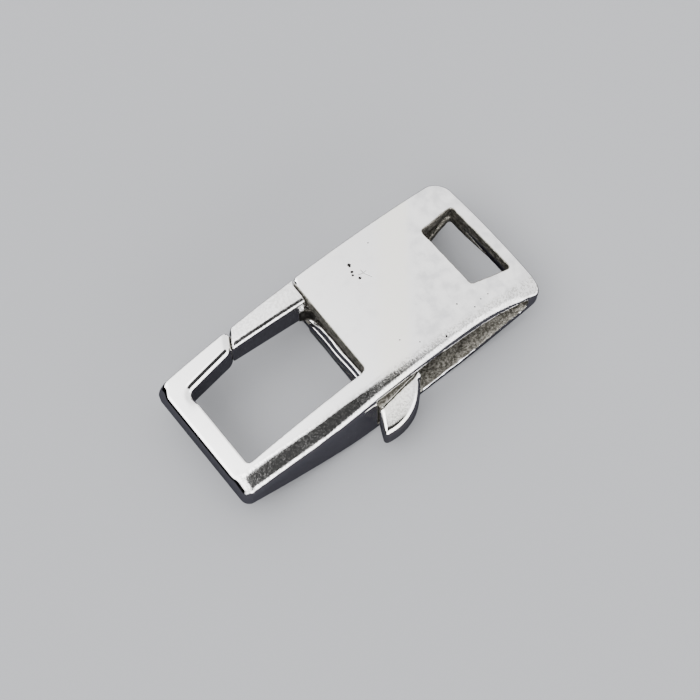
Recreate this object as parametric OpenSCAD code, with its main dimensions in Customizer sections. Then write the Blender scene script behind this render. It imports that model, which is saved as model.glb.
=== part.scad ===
// Lobster clasp with a rectangular front ring, a sprung lever and a rear slot.
// X runs from the rear bar to the nose, Y to the side of the thumb tab, Z up.
// The clasp lies on its belly, and the origin is under the middle of its box.

/* [Body] */
// Length from the rear bar to the nose
clasp_l = 20; // [19.5:0.25:20.5]
// Distance of the far side from the centre line, at the nose
far_front = 3.95; // [3.9:0.05:4.0]
// The same at the rear bar
far_rear = 4.2; // [4.15:0.05:4.25]
// Distance of the tab side from the centre line, at the nose
near_front = 3.75; // [3.7:0.05:3.8]
// The same along the straight stretch beside the tab
near_mid = 4.3; // [4.25:0.05:4.35]
// Half the length of that stretch
near_mid_x = 3; // [2.8:0.1:3.2]
// Distance of the tab side from the centre line, at the rear bar
near_rear = 4.65; // [4.6:0.05:4.7]
// Thickness at the belly's lowest point
body_t = 4.2; // [4.1:0.05:4.3]
// Thickness of the nose
nose_t = 1.7; // [1.6:0.05:1.8]
// Thickness of the rear end
rear_t = 1.2; // [1.15:0.05:1.25]
// Rise of the arched top between its two ends
arch_h = 1.04; // [1.0:0.02:1.1]
// Distance of the belly's lowest point behind the middle
belly_back = 1.5; // [1.3:0.1:1.7]
// How much of the belly's arc is polished flat where the clasp rests
belly_flat = 0.05; // [0.03:0.01:0.06]
// Radius of the front corners, seen from above
front_corner_r = 0.5; // [0.4:0.05:0.6]
// Radius of the far rear corner, seen from above
rear_corner_r = 1.05; // [1.0:0.05:1.1]
// Radius of the near rear corner, seen from above
flare_corner_r = 0.5; // [0.45:0.05:0.55]
// Bow of the rear end, seen from above
rear_bow = 0.15; // [0.1:0.05:0.2]
// Thickness of the top plate over the lever
plate_t = 0.95; // [0.9:0.05:1.0]
// Thickness of the bottom plate under the lever
floor_t = 0.6; // [0.55:0.05:0.65]
// Thickness of the far wall behind the lever
wall_t = 0.75; // [0.7:0.05:0.8]

/* [Tab side] */
// Distance of the top plate's edge from the centre line
waist_y = 4.07; // [4.05:0.01:4.1]
// How far the tab side leans out for each millimetre down
lean = 0.13; // [0.12:0.01:0.14]
// Distance behind the middle from which the top plate flares out to the rear corner
flare_x = 5.2; // [5.1:0.1:5.3]
// Radius of the flare, seen from above
flare_r = 18.8; // [18.4:0.2:19.2]
// Drop of the bevel for each millimetre of width
bevel_slope = 0.5; // [0.4:0.05:0.6]
// Distance of the bevel's upper edge from the centre line, at the middle
bevel_y = 3.4; // [3.3:0.05:3.5]
// How far the bevel's axis lies behind the axis of the arched top
bevel_back = 0.9; // [0.8:0.1:1.0]

/* [Window and slot] */
// Width of the nose bar
nose_bar_w = 1.24; // [1.15:0.05:1.35]
// Distance of the window's rear wall from the middle, on the far side
window_back = 0.82; // [0.8:0.02:0.84]
// How much further forward that wall stands on the tab side
window_skew = 0.15; // [0.1:0.05:0.2]
// Distance of the near arm's inner edge from the centre line
near_edge = 2.5; // [2.45:0.05:2.55]
// Distance of the hook's inner edge from the centre line, at the nose
hook_edge = 2.62; // [2.55:0.05:2.65]
// The same at the hook's end
hook_tip_edge = 2.95; // [2.9:0.05:3.0]
// Distance of the hook's end from the middle, on its outer side
hook_end = 5.05; // [5.0:0.05:5.2]
// How much shorter the hook is on its inner side
hook_bevel = 0.65; // [0.6:0.05:0.7]
// Radius of the window's corners
window_r = 0.3; // [0.25:0.05:0.35]
// Distance of the slot's front edge from the middle
slot_front = 6.76; // [6.7:0.02:6.8]
// Distance of the slot's rear edge from the middle
slot_rear = 9.2; // [9.15:0.01:9.2]
// Width of the slot's front edge
slot_front_w = 4.16; // [4.1:0.02:4.2]
// Width of the slot's rear edge
slot_rear_w = 4.9; // [4.85:0.05:4.95]
// How far the slot's rear edge is shifted to the tab side
slot_shift = 0.12; // [0.1:0.01:0.14]
// Radius of the slot's corners
slot_r = 0.2; // [0.15:0.05:0.25]
// Height of the sill's top above the belly, at the window's rear wall
sill_h = 1.3; // [1.25:0.05:1.35]
// Width of the sill from front to back
sill_w = 0.5; // [0.45:0.05:0.55]

/* [Lever] */
// Angle that the lever swings through
swing = 22; // [20:1:22]
// Height of the gate's underside above the belly
gate_z = 1.9; // [1.85:0.05:1.95]
// How far the gate's top lies below the arched top
gate_drop = 0.1; // [0.08:0.02:0.14]
// Distance of the gate's inner edge from the centre line, at its root
gate_edge = 2.67; // [2.65:0.01:2.7]
// Distance of the cross arm's front face from the middle
arm_front = 0.6; // [0.55:0.05:0.65]
// Distance of the cross arm's rear face behind the middle, at the tab
arm_rear = 1.5; // [1.5:0.05:1.6]
// Radius of the hollow corner between the gate and the cross arm
corner_fill_r = 0.6; // [0.5:0.05:0.7]
// How far the tab's root reaches in front of the middle
tab_front = 1.45; // [1.4:0.05:1.5]
// Distance of the tab's tip from the centre line
tab_reach = 5.78; // [5.75:0.01:5.8]
// How far the tab's tip reaches in front of the middle
tab_tip = 2.1; // [2.0:0.05:2.2]
// Radius of the tab's tip
tab_tip_r = 0.28; // [0.25:0.01:0.3]
// Radius of the tab's rounded rear flank
tab_flank_r = 3; // [2.9:0.05:3.1]
// How far the flank's outermost point lies behind the tip
tab_crest = 0.8; // [0.75:0.05:0.85]
// Height of the tab's top above the belly
tab_top = 3.1; // [3.05:0.01:3.12]
// Fall of the tab's top for each millimetre outwards
tab_fall = 0.3; // [0.25:0.05:0.35]
// Distance from the centre line of the step where the tab rises beside the top plate
tab_step_y = 4.35; // [4.35:0.05:4.4]
// Height of the tab's underside above the belly, at its tip
tab_tip_z = 1.35; // [1.3:0.05:1.4]

/* [Pin and spring] */
// Distance of the pin behind the middle
pin_back = 2.3; // [2.25:0.05:2.35]
// Distance of the pin from the centre line
pin_y = 2.1; // [2.05:0.05:2.15]
// Radius of the pin
pin_r = 0.42; // [0.4:0.01:0.45]
// Thickness of the top plate left over the pin's blind end
pin_cover = 0.3; // [0.25:0.05:0.35]
// Radius of the lever's hub
hub_r = 1.3; // [1.25:0.05:1.35]
// Diameter of the spring's wire
wire_d = 0.3; // [0.28:0.01:0.32]
// Turns of the spring
turns = 3; // [3:1:3]
// Length of the spring's leg
leg_l = 2.6; // [2.5:0.1:2.7]

/* [Clearances] */
// Gap between the lever and what it meets when closed
gap = 0.08; // [0.06:0.01:0.1]
// Gap between the gate's tip and the hook
joint_gap = 0.12; // [0.1:0.01:0.14]
// Radial clearance of the lever on its pin
pin_clear = 0.05; // [0.04:0.01:0.06]
// Radial clearance of the pin in the body
pin_seat = 0.015; // [0.01:0.005:0.02]
// Gap between the bore and the coil
coil_clear = 0.06; // [0.05:0.01:0.08]
// Gap between the coil and its pocket
pocket_clear = 0.12; // [0.1:0.01:0.14]

/* [Hidden] */
$fn = 48;
arc_fn = 360;
over = 2;

nose_x = clasp_l / 2;
end_z = body_t - arch_h;
belly_x = -belly_back;

// Radius of an arc that rises by rise over run, starting level
function level_arc_r(run, rise) = (run * run + rise * rise) / (2 * rise);

top_r = level_arc_r(nose_x, arch_h);
top_axis_z = body_t - top_r;
belly_front_r = level_arc_r(nose_x - belly_x, end_z - nose_t + belly_flat);
belly_rear_r = level_arc_r(nose_x + belly_x, end_z - rear_t + belly_flat);
rear_bow_r = level_arc_r(far_rear, rear_bow);

// Value at x on the line from start, at the rear end, to stop, at the nose
function along(x, start, stop) = start + (stop - start) * (x / clasp_l + 0.5);

// Distance of the far side from the centre line at x
function far_y(x) = along(x, far_rear, far_front);

// How far the far opening starts in front of the pin, how far the gate's root reaches back under
// the top plate, and how far its stem reaches down behind the window's rear wall
far_open_l = 0.6;
root_l = 0.15;
stem_l = 0.1;

// How deep the tab's root sits in the cross arm, and the rise of its step
tab_root_l = 0.5;
tab_step_w = 0.1;

hub_at = [-pin_back, -pin_y];
notch_x = tab_front + 1.25 * gap;
outside = near_rear + over;
wall_y = wall_t - far_rear;
far_open_x = hub_at[0] + far_open_l;
mid_y = (tab_reach - far_rear) / 2;
tab_root_y = waist_y - tab_root_l;
clear_y = near_mid + gap;
hook_tip = hook_end + hook_bevel;
hook_slope = hook_bevel / (far_y(hook_end) - hook_tip_edge);
gate_root = [window_back + root_l, -gate_edge];
gate_tip = [hook_tip - joint_gap, -hook_tip_edge - gap];

// Heights of the belly and of the arched top at x, for an x behind the belly's lowest point
function belly_z(x) = belly_rear_r - belly_flat - sqrt(belly_rear_r ^ 2 - (x - belly_x) ^ 2);
function top_z(x) = top_axis_z + sqrt(top_r ^ 2 - x ^ 2);

// A height to the nearest thousandth of a millimetre, so that faces at the same height meet exactly
function round_off(v) = round(v * 1000) / 1000;

// How far back the lever's rear edge swings, and the flat heights that pass between the plates there
swung_x = hub_at[0] - (arm_rear + hub_at[0]) * cos(swing) - (waist_y - hub_at[1]) * sin(swing);
arm_low = round_off(belly_z(swung_x) + floor_t + gap);
arm_high = round_off(top_z(swung_x) - plate_t - gap);

coil_r = pin_r + pin_clear + wire_d / 2 + coil_clear;
pocket_r = coil_r + wire_d / 2 + pocket_clear;
pocket_h = turns * wire_d + 2 * gap;
pocket_z = (arm_low + arm_high - pocket_h) / 2;
sill_clear = 1.5 * gap;

// Pitch of the coil against the wire, so that its turns are one solid
coil_pitch = 0.98;

// Unit vector from a to b
function unit(a, b) = (b - a) / norm(b - a);

// Centre of the circle with radius r that touches both arms of the path a, b, c
function corner_centre(a, b, c, r) =
    let (u = unit(b, a), v = unit(b, c))
    b + unit([0, 0], u + v) * r / sin(acos(u * v) / 2);

// Points of an arc that rounds corner b of the path a, b, c with radius r
function rounded(a, b, c, r, n = 6) =
    let (u = unit(b, a), v = unit(b, c),
         half = acos(u * v) / 2,
         centre = corner_centre(a, b, c, r),
         from = b + u * r / tan(half) - centre,
         turn = (u[0] * v[1] - u[1] * v[0] > 0 ? -1 : 1) * (180 - 2 * half))
    [for (i = [0 : n]) let (t = turn * i / n)
        centre + [from[0] * cos(t) - from[1] * sin(t), from[0] * sin(t) + from[1] * cos(t)]];

// Polygon whose corners are rounded, each with its own radius, where 0 is sharp
module rounded_polygon(corners, radii) {
    n = len(corners);
    polygon([for (i = [0 : n - 1])
        each radii[i] == 0 ? [corners[i]]
            : rounded(corners[(i + n - 1) % n], corners[i], corners[(i + 1) % n], radii[i])]);
}

// Stands an outline drawn in X and Z upright and runs it from y0 to y1
module across(y0, y1) {
    translate([0, y1, 0])
        rotate([90, 0, 0])
            linear_extrude(y1 - y0)
                children();
}

// Seen from above, the whole clasp without its tab
module plan() {
    intersection() {
        rounded_polygon(
            [[nose_x, near_front], [near_mid_x, near_mid], [-near_mid_x, near_mid],
             [-nose_x, near_rear], [-nose_x, -far_rear], [nose_x, -far_front]],
            [front_corner_r, 0, 0, flare_corner_r, rear_corner_r, front_corner_r]);
        translate([rear_bow_r - nose_x, 0])
            circle(rear_bow_r, $fn = arc_fn);
    }
}

// Seen from the side, a lens between the arched top and the belly, taken in by the two insets
module lens(top_inset = 0, belly_inset = 0) {
    intersection() {
        translate([0, top_axis_z])
            circle(top_r - top_inset, $fn = arc_fn);
        union() {
            intersection() {
                translate([belly_x, belly_front_r - belly_flat])
                    circle(belly_front_r - belly_inset, $fn = arc_fn);
                translate([belly_x, 0])
                    square([clasp_l, body_t + over]);
            }
            intersection() {
                translate([belly_x, belly_rear_r - belly_flat])
                    circle(belly_rear_r - belly_inset, $fn = arc_fn);
                translate([belly_x - clasp_l, 0])
                    square([clasp_l, body_t + over]);
            }
        }
    }
}

// The space below the bevel, a slow cone that lies along Y
module below_bevel() {
    translate([-bevel_back, -outside, top_axis_z])
        rotate([-90, 0, 0])
            cylinder(h = 2 * outside,
                     r1 = top_r + (bevel_y + outside) * bevel_slope,
                     r2 = top_r + (bevel_y - outside) * bevel_slope,
                     $fn = arc_fn);
}

// The space inside the tab side, which leans out from the top edge and flares to the rear corner
module inside_tab_side() {
    translate([-clasp_l, 0, 0])
        rotate([90, 0, 90])
            linear_extrude(2 * clasp_l)
                polygon([[-outside, -over], [waist_y + lean * (body_t + over), -over],
                         [waist_y - lean * over, body_t + over], [-outside, body_t + over]]);
    translate([0, 0, -over])
        linear_extrude(body_t + 2 * over)
            difference() {
                translate([-nose_x - over, 0])
                    square([nose_x + over - flare_x, outside]);
                translate([-flare_x, waist_y + flare_r])
                    circle(flare_r, $fn = arc_fn);
            }
}

// Window with the gap in the ring that the gate closes
module window() {
    front = nose_x - nose_bar_w;
    translate([0, 0, -over])
        linear_extrude(body_t + 2 * over)
            rounded_polygon(
                [[front, -hook_edge], [front, near_edge], [window_back + window_skew, near_edge],
                 [window_back - window_skew * (outside - far_front) / (near_edge + far_front), -outside],
                 [hook_tip - hook_slope * (outside - hook_tip_edge), -outside],
                 [hook_tip, -hook_tip_edge]],
                [window_r, window_r, window_r, 0, 0, 0]);
}

// Slot through both plates, wider at the rear
module slot() {
    translate([0, 0, -over])
        linear_extrude(body_t + 2 * over)
            rounded_polygon(
                [[-slot_front, slot_front_w / 2], [-slot_rear, slot_rear_w / 2 + slot_shift],
                 [-slot_rear, slot_shift - slot_rear_w / 2], [-slot_front, -slot_front_w / 2]],
                [slot_r, slot_r, slot_r, slot_r]);
}

// Space between the plates, open on the tab side, into the window and where the gate comes out
module cavity() {
    front = window_back + window_skew + gap;
    intersection() {
        linear_extrude(body_t)
            polygon([[-slot_rear, wall_y], [far_open_x, wall_y], [far_open_x, -outside],
                     [front, -outside], [front, near_edge], [notch_x, near_edge],
                     [notch_x, outside], [-slot_rear, outside]]);
        across(-outside, outside)
            lens(plate_t, floor_t);
    }
}

// Sill across the window's rear wall, which the cross arm passes over
module sill() {
    translate([window_back - sill_w, -near_edge, floor_t / 2])
        cube([sill_w, 2 * near_edge, sill_h - floor_t / 2]);
}

// What is cut away under the hook, so that it is as thin as the gate
module under_hook() {
    across(-outside, -hook_edge)
        polygon([[0, -over], [nose_x - nose_bar_w / 2, -over],
                 [nose_x - nose_bar_w / 2, end_z - nose_t], [hook_end, gate_z], [0, gate_z]]);
}

module body() {
    color("gainsboro")
        difference() {
            union() {
                difference() {
                    intersection() {
                        linear_extrude(body_t)
                            plan();
                        across(-outside, outside)
                            lens();
                        below_bevel();
                        inside_tab_side();
                    }
                    window();
                    cavity();
                    intersection() {
                        under_hook();
                        translate([window_back, -outside, -over])
                            cube([clasp_l, outside, body_t]);
                    }
                }
                sill();
            }
            slot();
            translate([hub_at[0], hub_at[1], -over])
                cylinder(r = pin_r + pin_seat, h = over + body_t - pin_cover);
        }
}

// Gate arm, with its root under the top plate
module gate() {
    outer_tip_x = gate_tip[0] - hook_slope * (outside + gate_tip[1]);
    intersection() {
        union() {
            translate([0, 0, gate_z])
                linear_extrude(body_t)
                    polygon([gate_root, [gate_root[0], -outside], [outer_tip_x, -outside], gate_tip]);
            intersection() {
                translate([far_open_x + gap, -outside, gate_z])
                    cube([gate_root[0] + stem_l - far_open_x - gap, outside - gate_edge, body_t]);
                across(-outside, outside)
                    lens(plate_t + gap, floor_t);
            }
        }
        linear_extrude(body_t)
            plan();
        across(-outside, outside)
            lens(gate_drop);
    }
}

// Flat slab that clears both plates wherever the lever swings
module between_plates() {
    translate([-clasp_l / 2, -outside, arm_low])
        cube([clasp_l, 2 * outside, arm_high - arm_low]);
}

// Hub and cross arm between the plates
module cross_arm() {
    low_front = window_back - sill_w - sill_clear;
    intersection() {
        union() {
            linear_extrude(body_t)
                polygon([[low_front, hub_at[1]], [low_front, near_edge], [tab_front, near_edge + gap],
                         [tab_front, waist_y], [-arm_rear, waist_y],
                         [hub_at[0] - hub_r, hub_at[1]]]);
            translate([arm_front - sill_w - over / 2, -gate_edge, sill_h + gap])
                cube([sill_w + over / 2, gate_edge + near_edge, body_t]);
            translate([hub_at[0], hub_at[1], 0])
                cylinder(r = hub_r, h = body_t);
        }
        between_plates();
    }
}

// Rounded hollow corner between the gate and the cross arm
module corner_fill() {
    corner = [arm_front, -gate_edge];
    hollow = rounded(gate_tip, corner, [arm_front, near_edge], corner_fill_r, 12);
    intersection() {
        translate([0, 0, gate_z])
            linear_extrude(body_t)
                polygon([corner - [root_l, root_l], hollow[0] - [0, stem_l], each hollow,
                         hollow[len(hollow) - 1] - [stem_l, 0]]);
        between_plates();
    }
}

// Thumb tab, seen from above: a straight front edge and a rounded rear flank
module tab_plan() {
    intersection() {
        translate([tab_tip - tab_crest, tab_reach - tab_flank_r])
            circle(tab_flank_r, $fn = 96);
        rounded_polygon(
            [[tab_front, tab_root_y], [tab_front, clear_y], [tab_tip + root_l, tab_reach],
             [-arm_rear, tab_reach + over / 2], [-arm_rear, tab_root_y]],
            [0, 0, tab_tip_r, 0, 0]);
    }
}

// The tab is low where it passes between the plates and rises outside them
module tab() {
    end_y = tab_reach + over / 2;
    end_rise = (tab_tip_z - arm_low) / (tab_reach - clear_y) * (end_y - clear_y);
    intersection() {
        linear_extrude(tab_top)
            tab_plan();
        rotate([90, 0, 90])
            translate([0, 0, -clasp_l / 2])
                linear_extrude(clasp_l)
                    polygon([[tab_root_y, arm_low], [clear_y, arm_low], [end_y, arm_low + end_rise],
                             [end_y, tab_top - tab_fall * (end_y - tab_step_y - tab_step_w)],
                             [tab_step_y + tab_step_w, tab_top], [tab_step_y, arm_high],
                             [tab_root_y, arm_high]]);
    }
}

module lever() {
    color("silver")
        difference() {
            union() {
                gate();
                cross_arm();
                corner_fill();
                tab();
            }
            translate([hub_at[0], hub_at[1], -over])
                cylinder(r = pin_r + pin_clear, h = body_t + 2 * over);
            translate([hub_at[0], hub_at[1], pocket_z])
                cylinder(r = pocket_r, h = pocket_h);
            translate([hub_at[0] - 2 * hub_r, hub_at[1] - 2 * hub_r, pocket_z])
                cube([2 * hub_r, 6 * hub_r, pocket_h]);
        }
}

module pivot_pin() {
    color("lightgray")
        intersection() {
            translate([hub_at[0], hub_at[1], 0])
                cylinder(r = pin_r, h = body_t - pin_cover - gap);
            across(-outside, outside)
                lens();
        }
}

// Closed coil round the pin, with one leg that bears on the far wall
module return_spring() {
    mid_z = pocket_z + pocket_h / 2;
    color("darkgray")
        translate([hub_at[0], hub_at[1], mid_z]) {
            for (i = [0 : turns - 1])
                translate([0, 0, (i - (turns - 1) / 2) * wire_d * coil_pitch])
                    rotate_extrude()
                        translate([coil_r, 0])
                            circle(wire_d / 2, $fn = 24);
            translate([0, -coil_r, 0])
                rotate([0, -90, 0])
                    cylinder(r = wire_d / 2, h = leg_l, $fn = 24);
        }
}

translate([0, -mid_y, 0]) {
    body();
    lever();
    pivot_pin();
    return_spring();
}
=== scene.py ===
"""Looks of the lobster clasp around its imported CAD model, in metres in the row frame.

The body and the lever are rebuilt as smooth skins that replace their CAD nodes. Each skin is a
distance field in millimetres, made from the CAD part's named sizes, with rounded polished edges
outside and rough cast walls inside, and is meshed here. The tab's top falls a little faster than in
the CAD part, the notch beside the tab is narrower, and the gate's tongue just reaches the hook.
"""

import math

import bpy
import numpy as np
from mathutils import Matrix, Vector


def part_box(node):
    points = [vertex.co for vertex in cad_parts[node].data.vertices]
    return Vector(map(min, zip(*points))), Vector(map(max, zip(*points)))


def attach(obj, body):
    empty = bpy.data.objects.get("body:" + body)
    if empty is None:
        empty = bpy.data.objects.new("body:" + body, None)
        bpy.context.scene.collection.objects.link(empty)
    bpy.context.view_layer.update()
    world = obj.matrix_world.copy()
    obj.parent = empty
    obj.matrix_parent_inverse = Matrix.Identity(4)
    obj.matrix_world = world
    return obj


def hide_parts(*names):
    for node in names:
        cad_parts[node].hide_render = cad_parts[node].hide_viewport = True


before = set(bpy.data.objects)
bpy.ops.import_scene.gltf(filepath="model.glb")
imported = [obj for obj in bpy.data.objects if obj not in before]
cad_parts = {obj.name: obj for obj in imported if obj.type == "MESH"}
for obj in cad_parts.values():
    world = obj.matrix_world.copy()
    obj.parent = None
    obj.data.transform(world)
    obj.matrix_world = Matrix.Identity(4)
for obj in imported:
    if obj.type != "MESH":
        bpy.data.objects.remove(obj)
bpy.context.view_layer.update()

MM = 0.001

# Sizes of the clasp in millimetres. X runs from the rear to the nose, Y to the tab side, Z up.
# Half widths on the far side and on the tab side, which is straight over its middle stretch
FAR_FRONT, FAR_REAR = 3.95, 4.2
NEAR_FRONT, NEAR_MID, NEAR_MID_X, NEAR_REAR = 3.75, 4.3, 3.0, 4.65
REAR_CORNER_R, FLARE_CORNER_R, REAR_BOW = 1.05, 0.5, 0.15
# Thicknesses, the rise of the top's arch and the belly's lowest place with its flat
BODY_T, NOSE_T, REAR_T, ARCH_H = 4.2, 1.7, 1.2, 1.04
BELLY_X, BELLY_FLAT = -1.5, 0.05
PLATE_T, FLOOR_T, WALL_T = 0.95, 0.6, 0.75
# The leaning side of the top plate beside the tab, and the bevel along the near arm
WAIST_Y, LEAN, FLARE_X, FLARE_R = 4.07, 0.13, 5.2, 18.8
BEVEL_SLOPE, BEVEL_Y, BEVEL_BACK, BEVEL_END = 0.5, 3.4, 0.9, 9.35
# The ring's window and the hook
NOSE_BAR_W, WINDOW_BACK, WINDOW_SKEW, NEAR_EDGE = 1.24, 0.82, 0.15, 2.5
HOOK_EDGE, HOOK_TIP_EDGE, HOOK_END, HOOK_BEVEL, WINDOW_R = 2.62, 2.95, 5.05, 0.65, 0.3
# The trapezoid slot at the rear, and the sill in front of the cross arm
SLOT_FRONT, SLOT_REAR, SLOT_FRONT_W, SLOT_REAR_W = 6.76, 9.2, 4.16, 4.9
SLOT_SHIFT, SLOT_R = 0.12, 0.2
SILL_H, SILL_W = 1.3, 0.5
# The lever: gate, cross arm, tab and hub
GATE_Z, GATE_DROP, GATE_EDGE = 1.9, 0.1, 2.67
ARM_FRONT, ARM_REAR, CORNER_FILL_R, SWING = 0.6, 1.5, 0.6, 22.0
TAB_FRONT, TAB_REACH, TAB_TIP, TAB_TIP_R, TAB_FLANK_R = 1.45, 5.78, 2.1, 0.28, 3.0
TAB_TOP, TAB_TIP_Z, TAB_STEP_Y, TAB_FALL = 3.1, 1.35, 4.35, 0.33
HUB_X, HUB_Y, HUB_R, PIN_R = -2.3, -2.1, 1.3, 0.42
COIL_OUTER_R, COIL_ROOM, POCKET_HALF = 0.83, 0.12, 0.53
# From the pin forward to the far opening, from the window's rear edge forward to the gate's root and
# back to the top plate's far corner, and from the tab's tip back to its widest place
FAR_OPEN_L, ROOT_L, PLATE_STEP, TAB_CREST = 0.6, 0.15, 0.05, 0.8
# Gaps between the pieces, and round the pin in the lever and in the body
GAP, JOINT_GAP, SILL_GAP, NOTCH_GAP = 0.08, 0.12, 0.12, 0.05
PIN_CLEAR, PIN_SEAT, PIN_COVER = 0.05, 0.015, 0.3

# Radii of the rounded edges in millimetres
RIM_R, ARM_RIM_R, EDGE_R, NOSE_EDGE_R, NOSE_SIDE_R = 0.95, 0.85, 0.12, 0.42, 0.2
BEVEL_R, BELLY_EDGE_R, TAB_RIM_R, TAB_FOOT_R = 0.7, 0.25, 0.42, 0.3
CUT_R, PLATE_CORNER_R, INNER_EDGE_R, HOOK_FOOT_R = 0.07, 0.33, 0.32, 0.2
CAVITY_R, ARM_EDGE_R, FINE_R, SEAM_R = 0.06, 0.1, 0.05, 0.04
# How much more the nose is rounded at its two corners
NEAR_CORNER_MORE, FAR_CORNER_MORE = 0.25, 0.4

# Flat cuts along the gate's inner edge, the hook's inner edge and the bottom plate's edge
INNER_CHAMFER, LEDGE_CHAMFER = 0.22, 0.07
HOOK_CHAMFER = 1.2 * INNER_CHAMFER
# How soft a flat cut's two edges are, as shares of its radius
SOFT_FIRST, SOFT_SECOND = 1.5, 0.6

# Degrees by which the surface turns between top and bevel, at the nose and, less than 90, at the rim
BEVEL_BEND, NOSE_BEND, RIM_BEND_LESS = 27, 84, 34

# Height and length of the waves of uneven cast walls and ledges
CAST_WAVE, SILL_FRONT_WAVE, SILL_TOP_WAVE = (0.035, 1.7), (0.03, 2.6), (0.06, 3.1)
LEDGE_FRONT_WAVE, LEDGE_TOP_WAVE = (0.04, 2.4), (0.07, 3.3)
# The ledge round the lever's inner corner
LEDGE_Z, LEDGE_X, LIP_R = 2.2, 0.88, 0.45

# Half width of a blend between the far side and the tab side
MIDDLE = 1.0
# Distances from a surface up to which a mask is full, and from which on it is empty
MASK_FULL, MASK_EMPTY = 0.02, 0.1
# Added to a distance, this takes a place out of a mask
FAR_OFF = 9.0


def level_arc_r(run, rise):
    """Radius of an arc that rises by rise over run, starting level."""
    return (run * run + rise * rise) / (2 * rise)


low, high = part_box("body")
NOSE_X = high.x / MM
MID_Y = -low.y / MM - FAR_REAR
END_Z = BODY_T - ARCH_H
TOP_R = level_arc_r(NOSE_X, ARCH_H)
TOP_AXIS_Z = BODY_T - TOP_R
BELLY_FRONT_R = level_arc_r(NOSE_X - BELLY_X, END_Z - NOSE_T + BELLY_FLAT)
BELLY_REAR_R = level_arc_r(NOSE_X + BELLY_X, END_Z - REAR_T + BELLY_FLAT)
REAR_BOW_R = level_arc_r(FAR_REAR, REAR_BOW)
WALL_Y = WALL_T - FAR_REAR
FAR_OPEN_X = HUB_X + FAR_OPEN_L
NOTCH_X = TAB_FRONT + NOTCH_GAP
HOOK_TIP = HOOK_END + HOOK_BEVEL
FAR_AT_HOOK = FAR_REAR + (FAR_FRONT - FAR_REAR) * (HOOK_END / NOSE_X + 1) / 2
HOOK_SLOPE = HOOK_BEVEL / (FAR_AT_HOOK - HOOK_TIP_EDGE)
PLATE_FRONT = ((WINDOW_BACK + WINDOW_SKEW, NEAR_EDGE), (WINDOW_BACK - PLATE_STEP, -FAR_REAR))
GATE_ROOT = (WINDOW_BACK + ROOT_L, -GATE_EDGE)
GATE_TIP = (HOOK_TIP - JOINT_GAP, -HOOK_TIP_EDGE - GAP)
# The cross arm's rear end when the gate is open, which leaves it the least room between the plates
SWUNG_X = (
    HUB_X
    - (ARM_REAR + HUB_X) * math.cos(math.radians(SWING))
    - (WAIST_Y - HUB_Y) * math.sin(math.radians(SWING))
)
BELLY_RISE = BELLY_REAR_R - math.sqrt(BELLY_REAR_R**2 - (SWUNG_X - BELLY_X) ** 2)
ARM_LOW = BELLY_RISE - BELLY_FLAT + FLOOR_T + GAP
ARM_HIGH = TOP_AXIS_Z + math.sqrt(TOP_R**2 - SWUNG_X**2) - PLATE_T - GAP


def rmax(a, b, r, bend=90.0):
    """What two fields share, with an edge of radius r where the surface turns by bend degrees."""
    c = np.cos(np.radians(bend))
    u, v = a + r, b + r
    arc = np.sqrt(np.maximum(u * u + v * v - 2 * c * u * v, 0) / (1 - c * c)) - r
    return np.where((u > c * v) & (v > c * u), arc, np.maximum(a, b))


def rmin(a, b, r):
    """Two fields joined, with a hollow corner of radius r."""
    return -rmax(-a, -b, r)


def chamfer(a, b, size, r):
    """What two fields share, with a flat cut along the edge that is softened by r."""
    bend = 45
    cut = (a + b + size) * math.sqrt(0.5)
    return np.maximum(rmax(a, cut, SOFT_FIRST * r, bend), rmax(b, cut, SOFT_SECOND * r, bend))


def ease(t, start, stop):
    """0 before start, 1 after stop and smooth between them."""
    u = np.clip((t - start) / (stop - start), 0, 1)
    return u * u * (3 - 2 * u)


def blend(a, b, share):
    """A value on the way from a, where share is 0, to b, where it is 1."""
    return a + (b - a) * share


def ramp(t, soft=1.0):
    """0 below zero and t above it, with a soft bend."""
    return (t + np.sqrt(t * t + soft * soft)) / 2


def wave(x, y, z, height, length):
    """Unevenness of a casting, of the given height and of about the given wavelength.

    Its numbers only keep the waves from lining up with each other and with the axes.
    """
    k = 2 * math.pi / length
    slow = np.sin(k * (x + 0.37 * y) + 1.3 * np.sin(0.71 * k * (z - 0.3 * x) + 0.5 * y))
    fast = np.sin(1.83 * k * (y - 0.21 * x) + 1.7 * np.sin(1.27 * k * (z + 0.4 * y) + 0.8))
    return height * (0.6 * slow + 0.4 * fast)


def closeness(*fields):
    """1 on the surface of any of the fields and 0 a little away from them all."""
    near = np.abs(fields[0])
    for other in fields[1:]:
        near = np.minimum(near, np.abs(other))
    return np.clip((MASK_EMPTY - near) / (MASK_EMPTY - MASK_FULL), 0, 1)


def right_of(x, y, p, q):
    """Distance to the right of the line from p to q, negative on its left."""
    dx, dy = q[0] - p[0], q[1] - p[1]
    return ((x - p[0]) * dy - (y - p[1]) * dx) / math.hypot(dx, dy)


def near_y(x):
    """Distance of the tab side from the centre line, below the top plate."""
    rear = (NEAR_REAR - NEAR_MID) / (NOSE_X - NEAR_MID_X) * ramp(-x - NEAR_MID_X)
    front = (NEAR_MID - NEAR_FRONT) / (NOSE_X - NEAR_MID_X) * ramp(x - NEAR_MID_X)
    return NEAR_MID + rear - front


def tab_side(x, y, z):
    """The side of the top plate beside the tab, which leans out and flares at the rear."""
    back = np.clip(-x - FLARE_X, 0, FLARE_R / 2)
    flare = FLARE_R - np.sqrt(FLARE_R**2 - back**2)
    return (y - WAIST_Y - flare - LEAN * (BODY_T - z)) / math.hypot(1, LEAN)


def far_side(x, y):
    return right_of(x, y, (-NOSE_X, -FAR_REAR), (NOSE_X, -FAR_FRONT))


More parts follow.
